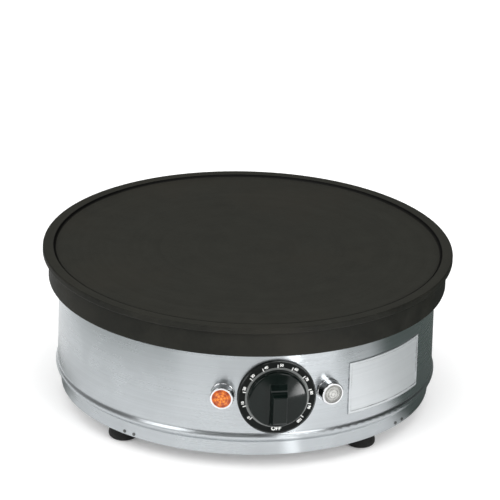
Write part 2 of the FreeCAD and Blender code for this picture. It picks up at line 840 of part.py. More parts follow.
def lamp_holder(azimuth):
    holder = rod(V(0, 0, -28), UP, lamp_bore_radius - 0.1, 28 + lens_seat)
    for x in (-3, 3):
        holder = holder.fuse(box(0.8, 4.8, 9.0, V(x, 0, -36)))
    return on_wall(holder, lamp_height, azimuth)


def lamp_nut(azimuth):
    flats = 21.0
    seat = nut_seat(flats * hex_factor / 2)
    nut = hexagon(flats, 3.5, V(0, 0, seat - 3.5), lamp_neck_radius + 0.1)
    return on_wall(nut, lamp_height, azimuth)


# Badge plate

def badge_plate():
    """Thin curved plate with a low raised border."""
    def patch(low, high, start, stop, inner, outer):
        ring = tube(V(0, 0, low), UP, outer, inner, high - low)
        wedge = Part.makeCylinder(outer + 5, high - low, V(0, 0, low), UP, stop - start)
        return ring.common(swing(wedge, start - 90))
    edge = math.degrees(badge_border / body_radius)
    outer = body_radius + badge_thickness
    plate = patch(badge_low, badge_high, badge_from, badge_to, body_radius + fit_gap, outer)
    panel = patch(badge_low + badge_border, badge_high - badge_border, badge_from + edge, badge_to - edge,
                  outer - 0.3, outer + 1)
    return plate.cut(panel)


# Cable gland, drawn facing away from the machine at the rear

def gland_body():
    flange_top = gland_flange_thickness
    flange = turned([(gland_bore_radius, -4.0), (gland_flange_radius, -4.0),
                     (gland_flange_radius, flange_top, 0.8), (gland_bore_radius, flange_top)])
    outside = on_wall(flange, gland_height, 180).cut(drum(body_radius + fit_gap))
    thread = tube(V(0, 0, -gland_neck_length), UP, gland_neck_radius, gland_bore_radius,
                  gland_neck_length + 1)
    collar = tube(V(0, 0, 1), UP, gland_neck_radius, gland_bore_radius, gland_flange_thickness + 7.0)
    return outside.fuse(on_wall(thread, gland_height, 180)).fuse(on_wall(collar, gland_height, 180))


def gland_cap():
    """Domed hexagonal cap that squeezes the seal round the cord."""
    start = gland_flange_thickness + 0.4
    bore = cord_radius + 0.6
    dome = turned([
        (0, start), (gland_hex_flats / 2, start), (gland_hex_flats / 2, start + gland_hex_length, 0.5),
        (gland_hex_flats / 2 - 1.6, gland_reach - 3.0, 3.0), (gland_hex_flats / 2 - 6.0, gland_reach, 1.0),
        (0, gland_reach)])
    cap = dome.fuse(hexagon(gland_hex_flats, gland_hex_length, V(0, 0, start)))
    cap = cap.cut(rod(V(0, 0, start), UP, gland_neck_radius + 0.1, 8.0))
    cap = cap.cut(rod(V(0, 0, start), UP, gland_bore_radius, 12.0))
    cap = cap.cut(rod(V(0, 0, start), UP, bore, gland_reach))
    return on_wall(cap, gland_height, 180)


def gland_seal():
    low = -6.0
    high = gland_flange_thickness + 0.4 + 11.8
    outer = gland_bore_radius - 0.1
    seal = turned([(cord_radius, low), (outer, low), (outer, high), (cord_radius, high)])
    return on_wall(seal, gland_height, 180)


def gland_locknut():
    flats = 27.0
    seat = nut_seat(flats * hex_factor / 2)
    nut = hexagon(flats, 4.0, V(0, 0, seat - 4.0), gland_neck_radius + 0.1)
    return on_wall(nut, gland_height, 180)


# Supply terminals

def block_middle():
    return V(0, block_distance, pan_top)


def terminal_block():
    """Three-pole block: a plinth with barriers between its poles and a wire hole through each pole."""
    block = box(block_length, block_depth, block_height * 0.55, block_middle())
    for i in range(4):
        x = (i - 1.5) * block_pitch
        barrier = box(1.8, block_depth, block_height, block_middle() + V(x, 0, 0))
        block = block.fuse(barrier)
    for i in range(3):
        x = (i - 1) * block_pitch
        pole = box(7.0, block_depth - 6, block_height * 0.8, block_middle() + V(x, 0, 0))
        pole = pole.cut(rod(block_middle() + V(x, -block_depth, block_height * 0.55), V(0, 1, 0), 1.8,
                            2 * block_depth))
        block = block.fuse(pole)
        for y in (-3.6, 3.6):
            at = block_middle() + V(x, y, block_height * 0.8)
            block = block.cut(rod(at, DOWN, 1.5 + fit_gap, 2.4))
    for x in (-block_length / 2 + block_screw_inset, block_length / 2 - block_screw_inset):
        block = block.cut(rod(block_middle() + V(x, 0, 0), UP, 1.8, block_height))
    return block


def terminal_clamp_screws():
    screws = []
    for i in range(3):
        x = (i - 1) * block_pitch
        for y in (-3.6, 3.6):
            screw = pan_screw(CENTRE, 1.5, 2.2, 2.6, 1.6)
            screw.rotate(CENTRE, RIGHT, 180)
            screw.translate(block_middle() + V(x, y, block_height * 0.8))
            screws.append(screw)
    return screws


def terminal_block_screws():
    screws = []
    for x in (-block_length / 2 + block_screw_inset, block_length / 2 - block_screw_inset):
        screw = pan_screw(CENTRE, 1.5, block_height * 0.55 + 1.8, 2.7, 1.8)
        screw.rotate(CENTRE, RIGHT, 180)
        screw.translate(block_middle() + V(x, 0, block_height * 0.55))
        screws.append(screw)
    return screws


def earth_place():
    return V(42, block_distance - 4, pan_top)


def earth_stud():
    return rod(earth_place(), UP, 2.45, 15)


def earth_nut():
    washer = tube(earth_place(), UP, 5.0, 2.6, 1.0)
    return hexagon(8.0, 4.0, earth_place() + UP * 1.0, 2.5).fuse(washer)


save("crepe_plate", crepe_plate())
save("heating_element_outer", heating_element(outer_ring))
save("heating_element_inner", heating_element(inner_ring))
save("element_clamp_plate", element_clamp_plate())
save("plate_studs", plate_studs())
save("stud_nuts", stud_nuts())
save("insulation_disc", insulation_disc())
save("heat_reflector", heat_reflector())
save("element_bushes", element_bushes())
save("plate_screws", plate_screws())
save("body_shell", body_shell())
save("rim_rivets", rim_rivets())
save("base_pan", base_pan())
save("service_cover", service_cover())
save("service_screws", service_screws())
for foot_name, foot_azimuth in zip(foot_names, foot_azimuths):
    save("foot_" + foot_name, rubber_foot(foot_azimuth))
save("foot_studs", foot_studs())
save("foot_nuts", foot_nuts())
save("dial_bezel", dial_bezel())
save("dial_ring", dial_ring())
save("thermostat_bracket", thermostat_bracket())
save("thermostat_body", thermostat_body())
save("thermostat_base", thermostat_base())
save("thermostat_tabs", thermostat_tabs())
save("thermostat_bush", thermostat_bush())
save("thermostat_screws", thermostat_screws())
save("capillary_tube", capillary_tube())
save("sensing_bulb", sensing_bulb())
save("bulb_clips", bulb_clips())
save("thermostat_shaft", thermostat_shaft())
save("control_knob", control_knob())
save("knob_spring", knob_spring())
for lamp_name, side in (("heating_lamp", -1), ("power_lamp", 1)):
    save(lamp_name + "_bezel", lamp_bezel(side * lamp_azimuth))
    save(lamp_name + "_lens", lamp_lens(side * lamp_azimuth))
    save(lamp_name + "_holder", lamp_holder(side * lamp_azimuth))
    save(lamp_name + "_nut", lamp_nut(side * lamp_azimuth))
save("badge_plate", badge_plate())
save("gland_body", gland_body())
save("gland_cap", gland_cap())
save("gland_seal", gland_seal())
save("gland_locknut", gland_locknut())
save("terminal_block", terminal_block())
save("terminal_clamp_screws", terminal_clamp_screws())
save("terminal_block_screws", terminal_block_screws())
save("earth_stud", earth_stud())
save("earth_nut", earth_nut())
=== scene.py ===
# %% [markdown]
# # An electric crepe maker in Blender
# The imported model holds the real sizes, the carriers and the knob's joint. This lesson gives it
# its finish: seasoned cast iron, steel brushed round the drum, glossy moulded plastic, chrome and
# coloured lenses. Everything is in metres, in the same frame as the model, so each new piece goes
# where the model says.

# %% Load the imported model
import json
import math
import bpy
from mathutils import Matrix, Vector


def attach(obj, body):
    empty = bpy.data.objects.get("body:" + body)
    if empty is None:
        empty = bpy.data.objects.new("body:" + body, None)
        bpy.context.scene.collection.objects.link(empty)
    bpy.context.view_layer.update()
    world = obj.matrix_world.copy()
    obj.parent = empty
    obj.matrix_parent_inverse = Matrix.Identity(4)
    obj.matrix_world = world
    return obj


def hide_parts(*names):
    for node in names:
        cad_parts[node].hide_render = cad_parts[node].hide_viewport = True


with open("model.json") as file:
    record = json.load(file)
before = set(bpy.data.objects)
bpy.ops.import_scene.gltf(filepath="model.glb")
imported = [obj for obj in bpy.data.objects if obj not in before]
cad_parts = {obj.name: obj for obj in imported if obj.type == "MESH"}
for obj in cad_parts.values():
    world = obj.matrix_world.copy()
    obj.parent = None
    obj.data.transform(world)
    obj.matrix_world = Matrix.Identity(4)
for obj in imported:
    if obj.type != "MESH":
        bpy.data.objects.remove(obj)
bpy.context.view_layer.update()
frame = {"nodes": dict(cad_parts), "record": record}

nodes = frame["nodes"]
MM = 0.001

# %% [markdown]
# ## The camera
# The picture was taken with a long lens from far away, a little to the left of the knob and
# looking down. A camera can be turned by hand until the outlines agree, but the ellipses of the
# plate's rim, the bead and the band settle its distance, height and tilt, so these were worked
# out from them.

# %% Camera
CAMERA_AZIMUTH = math.radians(-9.8)
CAMERA_DISTANCE = 4.0823
CAMERA_ABOVE_RIM = 1.6951
CAMERA_YAW = 0.00045
CAMERA_PITCH = 0.3942
CAMERA_ROLL = 0.02861
LENS = 373.06
SENSOR = 36
FAR_CLIP = 60
RIM_HEIGHT = 0.135


def aim_camera():
    """Camera on a circle round the plate's axis, pitched down, rolled and turned a little."""
    level = math.cos(CAMERA_PITCH)
    forward = Vector((math.sin(CAMERA_YAW) * level, math.cos(CAMERA_YAW) * level,
                      -math.sin(CAMERA_PITCH)))
    right = Vector((math.cos(CAMERA_YAW), -math.sin(CAMERA_YAW), 0))
    up = right.cross(forward)
    tilted_right = right * math.cos(CAMERA_ROLL) + up * math.sin(CAMERA_ROLL)
    tilted_up = up * math.cos(CAMERA_ROLL) - right * math.sin(CAMERA_ROLL)
    axes = Matrix((tilted_right, tilted_up, -forward)).transposed().to_4x4()
    place = Matrix.Translation((0, -CAMERA_DISTANCE, RIM_HEIGHT + CAMERA_ABOVE_RIM))
    data = bpy.data.cameras.new("camera")
    data.lens = LENS
    data.sensor_width = SENSOR
    data.clip_end = FAR_CLIP
    camera = bpy.data.objects.new("camera", data)
    bpy.context.scene.collection.objects.link(camera)
    camera.matrix_world = Matrix.Rotation(CAMERA_AZIMUTH, 4, "Z") @ place @ axes
    bpy.context.scene.camera = camera
    return camera


camera = aim_camera()
print("camera at", tuple(round(v, 3) for v in camera.location))

# %% [markdown]
# ## Helpers for shader nodes
# Every finish, and the sky too, is a tree of nodes. Added and linked one by one, even a simple
# tree takes a page. These helpers add a node, fill its sockets with numbers or links and hand
# back what it puts out, so that a recipe can be read like a sum.

# %% Node helpers
def add(tree, kind, inputs=None, **settings):
    """Adds a shader node, sets its options, and fills its sockets with values or links."""
    node = tree.nodes.new("ShaderNode" + kind)
    for key, value in settings.items():
        setattr(node, key, value)
    for key, value in (inputs or {}).items():
        if isinstance(value, bpy.types.NodeSocket):
            tree.links.new(value, node.inputs[key])
        else:
            node.inputs[key].default_value = value
    return node


def math_node(tree, operation, a, b=0.0, clamp=False):
    return add(tree, "Math", {0: a, 1: b}, operation=operation, use_clamp=clamp).outputs["Value"]


def times(tree, a, b):
    return math_node(tree, "MULTIPLY", a, b)


def weigh(tree, *parts):
    """Sum of values, each times its weight."""
    total, *others = [times(tree, value, weight) for value, weight in parts]
    for other in others:
        total = math_node(tree, "ADD", total, other)
    return total


def spread(tree, value, low, high, to_low=0.0, to_high=1.0, curve="LINEAR"):
    """Moves a value from one range to another and stops at its ends."""
    ends = {"Value": value, "From Min": low, "From Max": high, "To Min": to_low, "To Max": to_high}
    return add(tree, "MapRange", ends, interpolation_type=curve).outputs["Result"]


def split(tree, vector):
    """X, Y and Z of a vector."""
    return add(tree, "SeparateXYZ", {0: vector}).outputs


def length_of(tree, vector):
    return add(tree, "VectorMath", {0: vector}, operation="LENGTH").outputs["Value"]


def blend_colours(tree, mask, first, second):
    first, second = (colour if isinstance(colour, bpy.types.NodeSocket) else (*colour, 1)
                     for colour in (first, second))
    return add(tree, "Mix", {0: mask, 6: first, 7: second}, data_type="RGBA").outputs[2]


def new_material(name):
    material = bpy.data.materials.new(name)
    material.use_nodes = True
    tree = material.node_tree
    return material, tree, tree.nodes["Principled BSDF"]


def set_sockets(shader, values):
    """Plain numbers and colours go on the shader's own sockets."""
    for socket, value in values.items():
        shader.inputs[socket].default_value = value


print("helpers ready")

# %% [markdown]
# ## The floor
# The part stands on a white sheet that runs into the white behind it. One large plane with a matt
# white finish is enough; a faint glow of its own lifts it to the white of the background without
# putting more light on the metal. A mix by Backfacing makes it clear from below, so that the
# underside can be looked at as well.

# %% Floor
PAPER_WHITE = (0.93, 0.93, 0.93)
MATT = 0.9
FLOOR_WIDTH = 30
FLOOR_SHINE = 0.1
FLOOR_GLOW = 0.14


def floor():
    bpy.ops.object.select_all(action="DESELECT")
    bpy.ops.mesh.primitive_plane_add(size=FLOOR_WIDTH, location=(0, 0, 0))
    plane = bpy.context.object
    plane.name = "floor"
    paint, tree, shader = new_material("floor_white")
    set_sockets(shader, {"Base Color": (*PAPER_WHITE, 1), "Roughness": MATT,
                         "Specular IOR Level": FLOOR_SHINE, "Emission Color": (1, 1, 1, 1),
                         "Emission Strength": FLOOR_GLOW})
    from_below = add(tree, "NewGeometry").outputs["Backfacing"]
    clear = add(tree, "BsdfTransparent").outputs[0]
    seen = add(tree, "MixShader", {0: from_below, 1: shader.outputs[0], 2: clear})
    tree.links.new(seen.outputs[0], tree.nodes["Material Output"].inputs["Surface"])
    plane.data.materials.append(paint)


floor()
print("floor", FLOOR_WIDTH, "m wide")

# %% [markdown]
# ## The sky
# For the eye and for soft light the studio is plain white all round. Polished and brushed metal
# show what stands round them more than their own colour, so what they see is made another way:
# it gets darker towards the right and the back, and higher up. Light Path tells a reflection
# from the rest, which saves building dark walls that would take light away from everything.

# %% Sky
DARK_SIDE = (0.75, 0.66, 0)
FADE_TO_DARK = (-0.25, 0.75)
FADE_UPWARDS = (0.15, 0.6)
KEPT_HIGH_UP = 0.25


def sky(strength, bright, dim):
    """White world; reflections see bright at the left and in front, dim at the dark side."""
    world = bpy.data.worlds.new("studio")
    bpy.context.scene.world = world
    world.use_nodes = True
    tree = world.node_tree
    background = tree.nodes["Background"]
    background.inputs["Color"].default_value = (1, 1, 1, 1)
    where = add(tree, "TexCoord").outputs["Generated"]
    side = add(tree, "VectorMath", {0: where, 1: DARK_SIDE}, operation="DOT_PRODUCT")
    around = spread(tree, side.outputs["Value"], *FADE_TO_DARK, bright, dim, curve="SMOOTHSTEP")
    upwards = spread(tree, split(tree, where)["Z"], *FADE_UPWARDS, 1.0, KEPT_HIGH_UP)
    reflected = times(tree, around, upwards)
    direct = math_node(tree, "SUBTRACT", 1.0, add(tree, "LightPath").outputs["Is Glossy Ray"])
    light = add(tree, "Mix", {0: direct, 2: reflected, 3: strength})
    tree.links.new(light.outputs[0], background.inputs["Strength"])


sky(strength=1.0, bright=0.40, dim=0.05)
print("world", bpy.context.scene.world.name)

# %% [markdown]
# ## Paper round the part
# The lower half of what the metal sees is the floor. A photographer lays dark and light boards
# there, out of the picture. Here it is one ring of paper that only reflections see: white, with
# grey patches that give the drum its dark side and the bead its dark stretches. One ring with
# a painted pattern is easier to adjust than a dozen loose boards.

# %% Reflector paper
PAPER_INNER = 0.158
PAPER_OUTER = 4.0
PAPER_LIFT = 0.5 * MM
PAPER_SIDES = 96
PAPER_GREY = (0.075, 0.097, 0.087)
# Each patch: the azimuths between which it sets in and between which it ends, in degrees from
# the knob to the right; how grey it is; and, where it doesn't reach from the inner edge to the
# outer one, two radii with what is left of it at each.
GREY_PATCHES = (
    ((50, 66), (118, 172), 1.0, None),
    ((-60, -30), (9.6, 11.0), 1.0, (0.44, 0.52, 0.0, 1.0)),
    ((-150, -100), (-50, -30), 1.0, (0.34, 0.38, 0.0, 1.0)),
    ((34, 44), (118, 172), 1.0, (0.34, 0.38, 0.0, 1.0)),
    ((-175, -110), (-95, -50), 0.12, None),
    ((-178, -150), (-100, -80), 0.8, (0.19, 0.225, 1.0, 0.0)),
)


def soft_step(tree, value, *ends):
    return spread(tree, value, *ends, curve="SMOOTHSTEP")


def grey_mask(tree):
    """How grey the paper is at each place: the darkest of its patches there."""
    where = add(tree, "TexCoord").outputs["Object"]
    parts = split(tree, where)
    ahead = times(tree, parts["Y"], -1.0)
    azimuth = math_node(tree, "ARCTAN2", parts["X"], ahead)
    azimuth = times(tree, azimuth, math.degrees(1))
    radius = length_of(tree, where)
    mask = 0.0
    for sets_in, ends, grey, outwards in GREY_PATCHES:
        patch = math_node(tree, "SUBTRACT", soft_step(tree, azimuth, *sets_in),
                          soft_step(tree, azimuth, *ends))
        if outwards:
            patch = times(tree, patch, soft_step(tree, radius, *outwards))
        mask = math_node(tree, "MAXIMUM", mask, times(tree, patch, grey))
    return mask


def only_reflected(card):
    for ray in ("visible_camera", "visible_diffuse", "visible_shadow"):
        setattr(card, ray, False)


def reflector_paper():
    """Ring round the part: a circle whose edge is drawn outwards."""
    bpy.ops.object.select_all(action="DESELECT")
    bpy.ops.mesh.primitive_circle_add(vertices=PAPER_SIDES, radius=PAPER_INNER,
                                      fill_type="NOTHING", location=(0, 0, PAPER_LIFT))
    paper = bpy.context.object
    paper.name = "reflector_paper"
    bpy.ops.object.mode_set(mode="EDIT")
    bpy.ops.mesh.select_all(action="SELECT")
    bpy.ops.mesh.extrude_edges_move()
    wider = PAPER_OUTER / PAPER_INNER
    bpy.ops.transform.resize(value=(wider, wider, 1), center_override=(0, 0, 0))
    bpy.ops.object.mode_set(mode="OBJECT")
    paint, tree, shader = new_material("reflector_paper")
    colour = blend_colours(tree, grey_mask(tree), PAPER_WHITE, PAPER_GREY)
    tree.links.new(colour, shader.inputs["Base Color"])
    shader.inputs["Roughness"].default_value = MATT
    paper.data.materials.append(paint)
    only_reflected(paper)
    return paper


print("paper with", len(reflector_paper().data.polygons), "faces")

# %% [markdown]
# ## Two bright cards
# The knob's gloss shows a small window, and the band has a short bright patch below the dial. A
# lamp would light the whole front for that, so two small cards lie on the floor that only
# reflections see. Each glows more towards its right side, which gives its image one
# clear edge and one that fades.

# %% Bright cards
CARD_LIFT = 1 * MM
CARD_FADE = (-0.7, 0.4)
# Each card: its width and depth, its azimuth in degrees, its distance and its strength.
BRIGHT_CARDS = (((0.018, 0.090), 13.7, 0.392, 18.0),
                ((0.024, 0.060), 6.8, 0.200, 1.1))


def point_round(azimuth, distance, height):
    """A point round the plate's axis; azimuth in radians from the knob, positive to the right."""
    return Vector((distance * math.sin(azimuth), -distance * math.cos(azimuth), height))


def window_card(size, azimuth, distance, strength):
    """Small bright card on the floor that only reflections see."""
    turn = math.radians(azimuth)
    bpy.ops.object.select_all(action="DESELECT")
    bpy.ops.mesh.primitive_plane_add(size=1, location=point_round(turn, distance, CARD_LIFT))
    card = bpy.context.object
    card.name = "window_card"
    card.scale = (*size, 1)
    card.rotation_euler = (0, 0, turn)
    paint, tree, shader = new_material("window_card")
    shader.inputs["Emission Color"].default_value = (1, 1, 1, 1)
    across = split(tree, add(tree, "TexCoord").outputs["Object"])["X"]
    glow = times(tree, soft_step(tree, across, *CARD_FADE), strength)
    tree.links.new(glow, shader.inputs["Emission Strength"])
    card.data.materials.append(paint)
    only_reflected(card)


for card in BRIGHT_CARDS:
    window_card(*card)
print("cards", len(BRIGHT_CARDS))

# %% [markdown]
# ## Soft boxes
# Three area lights take the part of the studio's soft boxes: one at the left, a smaller one at
# the right and one above. Small lamps would draw hard shadows and pin-sharp dots in the
# chrome; these are large for their distance, so the shadows under the skirt stay soft.

# %% Soft boxes
AIM_HEIGHT = 0.08
# Each box: its name, azimuth in degrees, distance, height, width and depth, and watts.
SOFT_BOXES = (("box_left", -60, 2.2, 1.5, (1.2, 1.6), 16),
              ("box_right", 26, 2.0, 1.1, (0.9, 0.7), 10),
              ("box_top", 0, 0.6, 2.6, (2.0, 1.4), 16))


def soft_box(name, azimuth, distance, height, size, watts):
    """Rectangular area light that faces the drum."""
    data = bpy.data.lights.new(name, "AREA")
    data.shape = "RECTANGLE"
    data.size, data.size_y = size
    data.energy = watts
    lamp = bpy.data.objects.new(name, data)
    bpy.context.scene.collection.objects.link(lamp)
    lamp.location = point_round(math.radians(azimuth), distance, height)
    aim = Vector((0, 0, AIM_HEIGHT)) - lamp.location
    lamp.rotation_euler = aim.to_track_quat("-Z", "Y").to_euler()


for box in SOFT_BOXES:
    soft_box(*box)
bpy.context.scene.view_settings.view_transform = "Standard"
print("soft boxes", len(SOFT_BOXES))

# %% [markdown]
# ## Shared effects
# Most finishes share a few things: a fine grain or brushing, faint smears of grease, edges
# rubbed bright (on the dial and the knob a painted highlight along the edge instead), and a little
# dust where the surface looks up. They could be copied from material to material. Here each is a
# node group that is built once and put into every material with its own values, so that a change
# here changes the whole object in the same way.

# %% Group helpers
def new_group(name, inputs, outputs):
    """Empty shader node group; inputs maps names to their usual values, a tuple for a vector."""
    group = bpy.data.node_groups.new(name, "ShaderNodeTree")
    for socket, usual in inputs.items():
        kind = "NodeSocketVector" if isinstance(usual, tuple) else "NodeSocketFloat"
        given = group.interface.new_socket(socket, in_out="INPUT", socket_type=kind)
        given.default_value = usual
    for socket in outputs:
        group.interface.new_socket(socket, in_out="OUTPUT", socket_type="NodeSocketFloat")
    start = group.nodes.new("NodeGroupInput")
    end = group.nodes.new("NodeGroupOutput")
    return group, start.outputs, end.inputs


def use_group(tree, group, **values):
    return add(tree, "Group", values, node_tree=group).outputs


def noise(tree, vector, scale, detail):
    return add(tree, "TexNoise", {"Vector": vector, "Scale": scale, "Detail": detail}).outputs


ORIGIN = (0.0, 0.0, 0.0)
print("group helpers ready")

# %% [markdown]
# Grain is the small unevenness that no real surface is without. One noise looks like
# clouds, so three sizes of it are added up. With a Mapping node that stretches it, the same grain
# turns into brushing lines, and without one it is the skin of cast iron, ceramic or moulded
# plastic.

# %% Group: grain
COARSER = 0.21
FINER = 4.3
TONE_RANGE = (0.32, 0.68)

grain_group, given, result = new_group("grain", {"Vector": ORIGIN, "Scale": 100.0},
                                       ["Tone", "Height"])
coarse_scale = times(grain_group, given["Scale"], COARSER)
fine_scale = times(grain_group, given["Scale"], FINER)
coarse = noise(grain_group, given["Vector"], coarse_scale, 3.0)["Fac"]
medium = noise(grain_group, given["Vector"], given["Scale"], 4.0)["Fac"]
fine = noise(grain_group, given["Vector"], fine_scale, 2.0)["Fac"]
tone = weigh(grain_group, (coarse, 0.55), (medium, 0.45))
grain_group.links.new(spread(grain_group, tone, *TONE_RANGE), result["Tone"])
grain_group.links.new(weigh(grain_group, (medium, 0.6), (fine, 0.4)), result["Height"])
print("group", grain_group.name)

# %% [markdown]
# Smears are the cloudy traces of grease and cleaning that break up a reflection. They could be
# painted on; noise does it all over the object at once. Large noise is pushed aside by a
# second, finer noise, so that the patches get frayed borders.

# %% Group: smears
FRAY_FINER = 3.1
FRAY_PUSH = (0.05, 0.05, 0.05)
SMEAR_RANGE = (0.44, 0.66)

smear_group, given, result = new_group("smears", {"Vector": ORIGIN, "Scale": 14.0}, ["Mask"])
fray_scale = times(smear_group, given["Scale"], FRAY_FINER)
push = noise(smear_group, given["Vector"], fray_scale, 3.0)["Color"]
offset = add(smear_group, "VectorMath", {0: push, 1: FRAY_PUSH}, operation="MULTIPLY").outputs[0]
moved = add(smear_group, "VectorMath", {0: given["Vector"], 1: offset}, operation="ADD").outputs[0]
cloud = noise(smear_group, moved, given["Scale"], 5.0)["Fac"]
smear_group.links.new(spread(smear_group, cloud, *SMEAR_RANGE), result["Mask"])
print("group", smear_group.name)

# %% [markdown]
# Edges get rubbed bare by hands, cloths and the bench. The Bevel node gives a normal that is
# rounded near an edge. Where it differs from the true normal there is an edge, and noise makes
# the rubbing patchy. It needs no painted mask and fits every shape. On the dial and the knob the
# same mask lays a painted highlight along the edges, and on the badge a dark line round it.

# %% Group: rubbed edges
EDGE_WIDTH = 0.7 * MM
EDGE_RANGE = (0.985, 0.86)
PATCHY_RANGE = (0.35, 0.6)

# This mask carries rubbed wear on most finishes and a painted edge highlight on the dial and the
# knob.
edge_wear_and_highlight_group, given, result = new_group("edge_wear_and_highlight", {"Vector": ORIGIN, "Scale": 60.0}, ["Mask"])
rounded = add(edge_wear_and_highlight_group, "Bevel", {"Radius": EDGE_WIDTH}, samples=4).outputs["Normal"]
true_normal = add(edge_wear_and_highlight_group, "NewGeometry").outputs["Normal"]
alike = add(edge_wear_and_highlight_group, "VectorMath", {0: rounded, 1: true_normal}, operation="DOT_PRODUCT")
bare = spread(edge_wear_and_highlight_group, alike.outputs["Value"], *EDGE_RANGE)
patchy = noise(edge_wear_and_highlight_group, given["Vector"], given["Scale"], 4.0)["Fac"]
worn = times(edge_wear_and_highlight_group, bare, spread(edge_wear_and_highlight_group, patchy, *PATCHY_RANGE))
edge_wear_and_highlight_group.links.new(worn, result["Mask"])
print("group", edge_wear_and_highlight_group.name)

# %% [markdown]
# Dust settles on what looks up, and unevenly. The height of the normal tells what looks up, at
# no cost in geometry, and noise breaks the layer into flecks.

# %% Group: settled dust
LOOKS_UP = (0.35, 1.0)
FLECK_RANGE = (0.4, 0.7)

dust_group, given, result = new_group("settled_dust", {"Vector": ORIGIN, "Scale": 35.0}, ["Mask"])
facing = split(dust_group, add(dust_group, "NewGeometry").outputs["Normal"])["Z"]
specks = noise(dust_group, given["Vector"], given["Scale"], 6.0)["Fac"]
dusty = times(dust_group, spread(dust_group, facing, *LOOKS_UP),
              spread(dust_group, specks, *FLECK_RANGE))
dust_group.links.new(dusty, result["Mask"])
print("group", dust_group.name)

# %% [markdown]
# ## One recipe for most finishes
# A finish is two close tones mixed by the grain, a roughness that follows grain and smears,
# relief from the grain, and, where the real piece has them, rubbed edges and dust; on the dial
# and the knob the edge colour is a painted highlight instead. A tree for each of two dozen
# materials could be drawn by hand, but one function keeps them alike. Values that are the same
# all over, such as the coat's roughness, are set on the shader itself.

# %% The recipe
GREASE_DARKENS = 0.82
GRAIN_DULLS = 0.6
SMEAR_DULLS = 0.4
TURNED_ALONG = 4.0
DUST_COLOUR = (0.42, 0.39, 0.35)
DUST_DULLS = 0.4


def object_place(tree, stretch=(1, 1, 1), centre=(0, 0, 0), turn=(0, 0, 0)):
    """Object coordinates, moved so that centre is zero, turned and stretched."""
    where = add(tree, "TexCoord").outputs["Object"]
    back = tuple(-c for c in centre)
    moved = add(tree, "Mapping", {"Vector": where, "Location": back}).outputs[0]
    return add(tree, "Mapping", {"Vector": moved, "Rotation": turn, "Scale": stretch}).outputs[0]


def level_part(tree, place):
    """The vector without its height."""
    return add(tree, "VectorMath", {0: place, 1: (1, 1, 0)}, operation="MULTIPLY").outputs[0]


def lathe_place(tree, place, across, along):
    """Coordinates for turned work: distance from Z packed tightly, the way round loosely."""
    flat = level_part(tree, place)
    parts = split(tree, flat)
    return add(tree, "CombineXYZ", {"X": times(tree, parts["X"], along),
                                    "Y": times(tree, parts["Y"], along),
                                    "Z": times(tree, length_of(tree, flat), across)}).outputs[0]


def bump(tree, shader, height, distance, below=None):
    """Relief from a height; below is the bump that this one lies on."""
    inputs = {"Height": height, "Distance": distance, "Strength": 1.0}
    if below is not None:
        inputs["Normal"] = below
    normal = add(tree, "Bump", inputs).outputs["Normal"]
    tree.links.new(normal, shader.inputs["Normal"])
    return normal


def finish(name, dark, light, rough, metallic=0.0, scale=100.0, stretch=(1, 1, 1), relief=0.02,
           smear=0.3, edge=None, dust=None, turned=None, centre=(0, 0, 0), turn=(0, 0, 0),
           plain=None):
    """Material from the recipe; relief in mm, turned is how tightly its lathe rings lie."""
    material, tree, shader = new_material(name)
    place = object_place(tree)
    if turned:
        centred = object_place(tree, centre=centre, turn=turn)
        pattern = lathe_place(tree, centred, turned, TURNED_ALONG)
    else:
        pattern = object_place(tree, stretch)
    grain = use_group(tree, grain_group, Vector=pattern, Scale=scale)
    marks = use_group(tree, smear_group, Vector=place)["Mask"]
    colour = blend_colours(tree, grain["Tone"], dark, light)
    greasy = tuple(c * GREASE_DARKENS for c in dark)
    colour = blend_colours(tree, times(tree, marks, smear), colour, greasy)
    uneven = weigh(tree, (grain["Tone"], GRAIN_DULLS), (marks, SMEAR_DULLS))
    roughness = spread(tree, uneven, 0.0, 1.0, *rough)
    if edge:
        edges = use_group(tree, edge_wear_and_highlight_group, Vector=place)["Mask"]
        colour = blend_colours(tree, edges, colour, edge)
    if dust:
        dusty = use_group(tree, dust_group, Vector=place)["Mask"]
        thin = times(tree, dusty, dust)
        colour = blend_colours(tree, thin, colour, DUST_COLOUR)
        roughness = math_node(tree, "ADD", roughness, times(tree, thin, DUST_DULLS), clamp=True)
    tree.links.new(colour, shader.inputs["Base Color"])
    tree.links.new(roughness, shader.inputs["Roughness"])
    bump(tree, shader, grain["Height"], relief * MM)
    set_sockets(shader, {"Metallic": metallic, **(plain or {})})
    return material, tree, shader


print("recipe ready")

# %% [markdown]
# ## Steel brushed round the drum
# The drum's sheet is brushed along its length before it is rolled, so the lines run round the
# drum. Brushed steel stretches each reflection across its lines: that is what draws bright
# threads above the lamps. A picture of brushing would show a seam and repeat. Noise that is
# packed tightly in height and loosely round the drum gives the lines, and an anisotropic shader
# the threads.

# %% Drum steel
BRUSHED_ROUND = (7, 7, 2400)
ACROSS_THE_LINES = 0.25


def brushed_sheet(name, dark, light, rough, anisotropy):
    material, tree, shader = finish(name, dark, light, rough, metallic=1.0, scale=1.0,
                                    stretch=BRUSHED_ROUND, relief=0.003, smear=0.22)
    tangent = add(tree, "Tangent", direction_type="RADIAL", axis="Z")
    tree.links.new(tangent.outputs["Tangent"], shader.inputs["Tangent"])
    set_sockets(shader, {"Anisotropic": anisotropy, "Anisotropic Rotation": ACROSS_THE_LINES})
    return material


drum_steel = brushed_sheet("stainless", (0.50, 0.528, 0.546), (0.575, 0.606, 0.628),
                           (0.25, 0.33), anisotropy=0.75)
print("material", drum_steel.name)

# %% [markdown]
# ## Seasoned cast iron
# Fresh from the mould the plate is grey and sandy. Its cooking side is turned flat on a lathe,
# which leaves fine rings, and many coats of burnt-in oil make it almost black, a little brown
# and silky on top, matt on the skirt and sandy underneath. The casting is one piece, so it
# can't be given a material for each side without a visible border; height and normal masks tell
# the places apart in one material instead.

